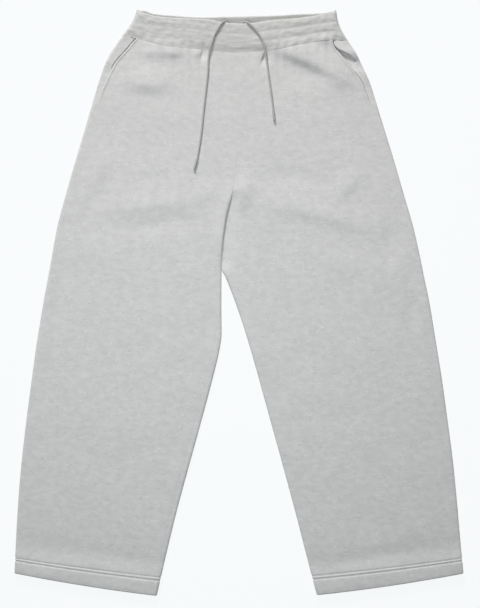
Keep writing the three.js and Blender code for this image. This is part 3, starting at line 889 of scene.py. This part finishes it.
def panel_grids(half, rows_of):
    """Outer and inner points of a panel, with each point's place along the section."""
    last = LEG_LENGTH - HEM_RIM
    places = down_places((0, POCKET_END, *HEM_ROWS, last))
    places = places[places <= last + 1e-9]
    outer, inner, along = [], [], []
    for at in places:
        tube = half_at(half, at)
        q, layer_points = rows_of(tube)
        outer.append(layer_points(q, 0.0))
        inner.append(layer_points(q, tube.wall))
        along.append(q)
    return places, np.array(outer), np.array(inner), np.array(along)


def groove(distance, size, share=1.0):
    """How far the wall is drawn in at a distance from a groove's middle."""
    depth, width = size
    return depth * share * bell(distance, width)


def seam_grooves(places, along, first_edge):
    """How far each point of a panel is drawn in: at its side edges, its waist seam and the hem's stitches.
    first_edge tells row by row how much of a seam the first edge has."""
    down = places[:, None]
    grooves = groove(along - along[:, :1], SIDE_GROOVE, first_edge[:, None])
    above_crotch = 1 - smoothstep(down, *CENTRE_GROOVE_FADE)
    grooves = grooves + groove(along[:, -1:] - along, CENTRE_GROOVE, above_crotch)
    grooves = grooves + groove(down, WAIST_GROOVE)
    for row in HEM_ROWS:
        grooves = grooves + groove(down - row, HEM_GROOVE)
    return grooves


def front_rows(tube):
    """Places along the front's section from its pocket edge, and its points there."""
    q0 = path_to(tube, tube.pocket + tube.wall / 2) if tube.pocket > 0 else 0.0
    q1 = path_length(tube) - tube.wrap - SEAM_GAP * tube.wrapped
    layer = front_layer(tube)

    def points(q, inset):
        return tube_points(tube, q, inset, layer)

    return across_places(q0, q1, FRONT_STEPS), points


def back_rows(tube, tail_steps):
    """Places along the back's section, which turns over the leg's inner edge, and its points there."""
    length = path_length(tube)
    under = SimpleNamespace(upper=False, face=under_face)
    over = front_layer(tube)

    def points(q, inset):
        lower = tube_points(tube, np.minimum(q, length), inset, under)
        upper = tube_points(tube, np.minimum(2 * length - q, length), inset, over)
        return np.where((q > length)[:, None], upper, lower)

    tail = QUARTER_TURN + tube.wrap
    return across_places(0.0, length + tube.wrap, BACK_STEPS, tail, tail_steps), points


def facing_layer(half, tube):
    """The facing stands up outside the slit and lies low in it and under the front."""
    width, rise, dip = (read(half.slit, column, tube.at) for column in ("width", "rise", "dip"))
    shut = smoothstep(tube.at, *half.shut)  # further down the lips of the slit lie together

    def relief(x, y, inset):
        outside = tube.pocket - np.hypot(x - tube.start[0], y - tube.start[1])
        stands = (1 - shut) * smoothstep(outside, width + LIP_FADE[0], width + LIP_FADE[1])
        return rise * stands - dip * (1 - stands)

    return SimpleNamespace(upper=True, face=tube.loft - tube.wall - FACING_SINK - LAYER_GAP, relief=relief)


def facing_grids(half):
    outer, inner = [], []
    for at in np.linspace(0, POCKET_END, FACING_STEPS):
        tube = half_at(half, at)
        layer = facing_layer(half, tube)
        q = across_places(0.0, path_to(tube, tube.pocket + FACING_UNDERLAP), FACING_STEPS_ACROSS)
        outer.append(tube_points(tube, q, 0.0, layer))
        inner.append(tube_points(tube, q, FACING_WALL, layer))
    return np.array(outer), np.array(inner)


def make_front(side, half, material):
    places, outer, inner, along = panel_grids(half, front_rows)
    below_pocket = (places > POCKET_END).astype(float)
    outer = pinch(outer, inner, seam_grooves(places, along, below_pocket))
    points, faces = shell(outer, inner, rounds=(0, 5, 3, 0), first_column_share=1 - below_pocket)
    piece = place_mesh(f"front_{side}_cloth", points, faces, material, [f"front_{side}"])
    return places, outer


def make_back(side, half, material):
    places, outer, inner, along = panel_grids(half, lambda tube: back_rows(tube, half.tail_steps))
    outer = pinch(outer, inner, seam_grooves(places, along, np.ones(len(places))))
    points, faces = shell(outer, inner, rounds=(0, 5, 0, 0))
    piece = place_mesh(f"back_{side}_cloth", points, faces, material, [f"back_{side}"])
    return places, outer


def make_facing(side, half, material):
    outer, inner = facing_grids(half)
    points, faces = shell(outer, inner, rounds=(0, 0, 0, 3))
    name = f"pocket_facing_{side}"
    piece = place_mesh(f"{name}_cloth", points, faces, material, [name])


# Waistband


def band_place(top, across, up):
    """Place on the band: across from 0 at its left end to 1, up from 0 at the seam to 1 at the top."""
    seam_x = WAIST_SEAM["at"][0] + across * (WAIST_SEAM["at"][-1] - WAIST_SEAM["at"][0])
    top_x = top["at"][0] + across * (top["at"][-1] - top["at"][0])
    tuck = (BAND_TUCK[0] + across * (BAND_TUCK[1] - BAND_TUCK[0])) * math.sin(math.pi * up)
    seam_y, top_y = read(WAIST_SEAM, "y", seam_x), read(top, "y", top_x)
    return seam_x + up * (top_x - seam_x) + tuck, seam_y + up * (top_y - seam_y)


def band_relief(x, up):
    """The band swells in its channels, is drawn in at its stitches and is gathered outside its centre."""
    swell = abs(math.sin(math.pi * BAND_CHANNELS * up))
    drift = 0.9 * up + 0.35 * math.sin(9 * up)  # the gathers lean a little from channel to channel
    lumps = unevenness(x, np.full_like(x, LUMP_SQUEEZE * BAND_HEIGHT * up), LUMP_SIZE, LUMP_SEED)
    bulge = CHANNEL_BULGE * (LEFT_BULGE + (1 - LEFT_BULGE) * smoothstep(x, *BULGE_FADE))
    near_seam = 1 - smoothstep(up, 0, SEAM_DROP_REACH)
    gathers = GATHER_RELIEF * (GATHER_SHARE * gather_wave(x, drift) + LUMP_SHARE * lumps)
    return swell * (bulge + gathers) + near_seam * (seam_lift(x) - SEAM_DROP)


def strip_relief(x, y):
    """The back band's inside dips behind the front's top edge and rises to its own."""
    behind = y - read(FRONT_TOP, "y", x)
    rise = -STRIP_DIP + STRIP_RISE * smoothstep(behind, 0, STRIP_RISE_REACH)
    return rise * smoothstep(behind, -STRIP_DIP_REACH, 0)


def band_grids(top, is_front, heights):
    outer, inner = [], []
    for up in heights:
        start_x, end_x = (float(band_place(top, side, up)[0]) for side in (0.0, 1.0))

        def relief(x, y, inset):
            if inset > 0:
                return np.zeros_like(x)
            return band_relief(x, up)

        def shift(place, across):
            return place[:, 0], band_place(top, across, up)[1]

        tube = SimpleNamespace(
            start=np.array([start_x, 0.0]),
            end=np.array([end_x, 0.0]),
            turn=BAND_TURN,
            rim=BAND_WALL + BAND_HOLLOW / 2,
            close_start=1.0,
            close_end=1.0,
            seam_start=SEAM_GAP / 2,
            seam_end=SEAM_GAP / 2,
            shift=shift,
        )
        if is_front:
            layer = SimpleNamespace(upper=True, face=2 * BAND_WALL + BAND_HOLLOW, relief=relief)
        else:
            layer = SimpleNamespace(upper=False, face=under_face)
        q = across_places(0.0, path_length(tube), BAND_STEPS)
        outer.append(tube_points(tube, q, 0.0, layer))
        inner.append(tube_points(tube, q, BAND_WALL, layer))
        if not is_front:
            inner[-1][:, 2] += strip_relief(inner[-1][:, 0], inner[-1][:, 1])
    return np.array(outer), np.array(inner)


def make_band(name, top, is_front, material):
    last = 1 - BAND_WALL / 2 / BAND_HEIGHT  # the rounded top edge reaches the rest of the way
    rows = [k / BAND_CHANNELS for k in range(1, BAND_CHANNELS)]
    near = [row + step for row in rows for step in STITCH_ROW_STEPS]
    even = np.linspace(0, last, BAND_ROWS)
    even = [up for up in even if all(abs(up - row) > STITCH_ROW_CLEARANCE for row in rows)]
    heights = np.array(sorted([*near, *even]))
    outer, inner = band_grids(top, is_front, heights)
    points, faces = shell(outer, inner, rounds=(0, 7, 0, 0))
    piece = place_mesh(f"{name}_cloth", points, faces, material, [name])
    return [outer[np.argmin(abs(heights - row))] for row in rows]


# Stitches


def stitch_points(first, last):
    """Rings of points of one rounded stitch between two places."""
    along = (last - first) / np.linalg.norm(last - first)
    side = np.cross(along, (0, 0, 1))
    side /= np.linalg.norm(side)
    upward = np.cross(side, along)
    points = []
    for share, width in STITCH_RINGS:
        centre = first + share * (last - first)
        for angle in np.linspace(0, 2 * math.pi, STITCH_SIDES, endpoint=False):
            around = math.cos(angle) * side + math.sin(angle) * upward
            points.append(centre + STITCH_RADIUS * width * around)
    return points


def stitch_faces(base):
    """Faces of one stitch whose points are numbered from base."""
    faces = []
    for ring in range(len(STITCH_RINGS) - 1):
        for k in range(STITCH_SIDES):
            a = base + ring * STITCH_SIDES + k
            b = base + ring * STITCH_SIDES + (k + 1) % STITCH_SIDES
            faces.append([a, a + STITCH_SIDES, b + STITCH_SIDES, b])
    last_ring = base + (len(STITCH_RINGS) - 1) * STITCH_SIDES
    faces.append([base + k for k in range(STITCH_SIDES)])
    faces.append([last_ring + k for k in reversed(range(STITCH_SIDES))])
    return faces


def path_distances(points):
    """Distance along a path up to each of its points."""
    return np.concatenate([[0], np.cumsum(np.linalg.norm(np.diff(points, axis=0), axis=1))])


def stitch_mesh(lines):
    """Stitches end to end along lines on the cloth."""
    points, faces = [], []
    for line in lines:
        length = path_distances(line)
        for start in np.arange(STITCH_PITCH / 2, length[-1] - STITCH_PITCH, STITCH_PITCH):
            places = (start, start + STITCH_LENGTH)
            first, last = (np.array([np.interp(s, length, line[:, k]) for k in range(3)]) for s in places)
            faces += stitch_faces(len(points))
            points += stitch_points(first, last)
    return points, faces


def sew(name, lines, material):
    points, faces = stitch_mesh(lines)
    place_mesh(name, points, faces, material)


def panel_lines(places, outer):
    """The lines of a panel's hem stitches."""
    return [outer[np.argmin(abs(places - row))] for row in HEM_ROWS]


def pocket_line(places, outer):
    """The line of the stitches that hold a pocket's folded edge."""
    return outer[places <= POCKET_END, WELT_COLUMN]


# Drawcord


def cord_path(route, step):
    """Even points on the smooth curve through the route's points."""
    points = [np.array(p) for p in route]
    points = [2 * points[0] - points[1], *points, 2 * points[-1] - points[-2]]
    dense = []
    for a, b, c, d in zip(points[:-3], points[1:-2], points[2:-1], points[3:]):
        for t in np.linspace(0, 1, CURVE_STEPS, endpoint=False):
            square = (2 * a - 5 * b + 4 * c - d) * t**2
            cube = (3 * (b - c) + d - a) * t**3
            dense.append(0.5 * (2 * b + (c - a) * t + square + cube))
    dense = np.array([*dense, points[-2]])
    length = path_distances(dense)
    even = np.linspace(0, length[-1], round(length[-1] / step) + 1)
    return np.stack([np.interp(even, length, dense[:, k]) for k in range(3)], axis=-1), length[-1]


def sweep(path, radius_at, sides):
    """Tube with closed ends along a path. radius_at gives a ring's radii, from its distance along."""
    tangent = np.gradient(path, axis=0)
    tangent /= np.linalg.norm(tangent, axis=1)[:, None]
    across = np.cross(tangent, (0, 0, 1))
    across /= np.linalg.norm(across, axis=1)[:, None]
    upward = np.cross(across, tangent)
    along = path_distances(path)
    angle = np.linspace(0, 2 * math.pi, sides, endpoint=False)
    rings = []
    for k, centre in enumerate(path):
        ring = np.cos(angle)[:, None] * across[k] + np.sin(angle)[:, None] * upward[k]
        rings.append(centre + ring * radius_at(along[k], angle)[:, None])
    count = len(path)
    index = np.arange(count * sides).reshape(count, sides)
    index = np.concatenate([index, index[:, :1]], axis=1)
    corners = (index[:-1, :-1], index[1:, :-1], index[1:, 1:], index[:-1, 1:])
    faces = [list(f) for f in np.stack(corners, axis=-1).reshape(-1, 4)]
    faces.append(list(index[0, :-1]))
    faces.append(list(index[-1, :-1][::-1]))
    return np.concatenate(rings), faces


def braid_radius(along, angle):
    """Radii round the cord, whose strands cross as they wind round it."""
    turns = 2 * math.pi * along / BRAID_PITCH
    over = np.abs(np.cos(BRAID_STRANDS * angle + BRAID_STRANDS * turns))
    under = np.abs(np.cos(BRAID_STRANDS * angle - BRAID_STRANDS * turns))
    return CORD_DIAMETER / 2 * (1 - BRAID_RELIEF + BRAID_RELIEF * np.maximum(over, under) ** 0.8)


def tip_radius(along, angle):
    """Radii round the tip, wound with thread and rounded off at both ends."""
    from_end = min(along, TIP_LENGTH + LAYER_GAP + TIP_OVERLAP - along)
    rounding = math.sqrt(max(0.0, 1 - max(0.0, 1 - from_end / TIP_ROUND) ** 2))
    rounded = TIP_END_SHARE + (1 - TIP_END_SHARE) * rounding
    winding = WINDING_RELIEF * abs(math.cos(math.pi * along / WINDING_PITCH))
    return TIP_DIAMETER / 2 * rounded * (1 - WINDING_RELIEF + winding) * np.ones_like(angle)


def make_tip(side, path, material):
    """The cord's bound end, level and straight on from its last stretch."""
    direction = path[-1] - path[-8]
    direction[2] = 0
    direction /= np.linalg.norm(direction)
    lift = np.array([0, 0, (TIP_DIAMETER - CORD_DIAMETER) / 2])
    steps = np.linspace(-TIP_OVERLAP, TIP_LENGTH + LAYER_GAP, TIP_STEPS)
    points, faces = sweep(path[-1] + lift + steps[:, None] * direction, tip_radius, TIP_SIDES)
    name = f"drawcord_{side}_binding"
    return place_mesh(name, points, faces, material, [f"drawcord_tip_{side}"])


def make_cord(side, route, material):
    path, length = cord_path(route, CORD_STEP)
    points, faces = sweep(path, braid_radius, CORD_SIDES)
    name = f"drawcord_{side}"
    cord = place_mesh(f"{name}_braid", points, faces, material, [name])
    make_tip(side, path, material)


# Floor and light


def make_floor():
    mesh = bpy.data.meshes.new("floor")
    signs = ((-1, -1), (1, -1), (1, 1), (-1, 1))
    corners = [(x * FLOOR_REACH, y * FLOOR_REACH, -FLOOR_DEPTH) for x, y in signs]
    mesh.from_pydata(corners, [], [(0, 1, 2, 3)])
    floor = bpy.data.objects.new("floor", mesh)
    bpy.context.collection.objects.link(floor)
    material, _, shader = new_material("pale_floor", 0.9)
    shader.inputs["Base Color"].default_value = (*FLOOR_GREY, 1)
    shader.inputs["Emission Color"].default_value = (*FLOOR_GLOW, 1)
    shader.inputs["Emission Strength"].default_value = 0.915
    mesh.materials.append(material)


def make_light(name, place, size, power, colour):
    data = bpy.data.lights.new(name, "AREA")
    data.shape = "DISK"
    data.size = size
    data.energy = power
    data.color = colour
    light = bpy.data.objects.new(name, data)
    bpy.context.collection.objects.link(light)
    light.location = place
    light.rotation_euler = (Vector((0, 0, 0)) - Vector(place)).to_track_quat("-Z", "Y").to_euler()


def make_studio():
    """A soft key that rakes over the cloth from beyond the waist, a fill from above and a dim room."""
    make_floor()
    make_light("key", place=(-0.9, 4.3, 2.35), size=1.2, power=242, colour=(1, 0.99, 0.96))
    make_light("upper_fill", place=(-0.12, 0.26, 1.2), size=0.4, power=3.8, colour=(1, 0.985, 0.955))
    make_light("lower_fill", place=(-0.12, -0.26, 1.2), size=0.4, power=3.35, colour=(0.79, 0.89, 1))
    world = bpy.context.scene.world or bpy.data.worlds.new("studio")
    bpy.context.scene.world = world
    world.use_nodes = True
    room = world.node_tree.nodes["Background"].inputs
    room["Color"].default_value = (*ROOM_WHITE, 1)
    room["Strength"].default_value = 0.15
    bpy.context.scene.view_settings.view_transform = "Standard"


make_camera()
cord_cloth = cord_material("braided_cord", CORD_GREY)
make_cord("left", LEFT_CORD, cord_cloth)
make_cord("right", RIGHT_CORD, cord_cloth)

make_studio()
fleece = fleece_material("heather_fleece", FLEECE_GREY)
band_fleece = fleece_material("waistband_fleece", BAND_GREY)
thread = thread_material("sewing_thread", THREAD_GREY)
for side, half in (("left", LEFT), ("right", RIGHT)):
    back = make_back(side, half, fleece)
    make_facing(side, half, fleece)
    front = make_front(side, half, fleece)
    sew(f"back_{side}_stitches", panel_lines(*back), thread)
    sew(f"front_{side}_stitches", [*panel_lines(*front), pocket_line(*front)], thread)
for name, top, is_front in (("waistband_back", BACK_TOP, False), ("waistband_front", FRONT_TOP, True)):
    rows = make_band(name, top, is_front, band_fleece)
    sew(f"{name}_stitches", rows, thread)
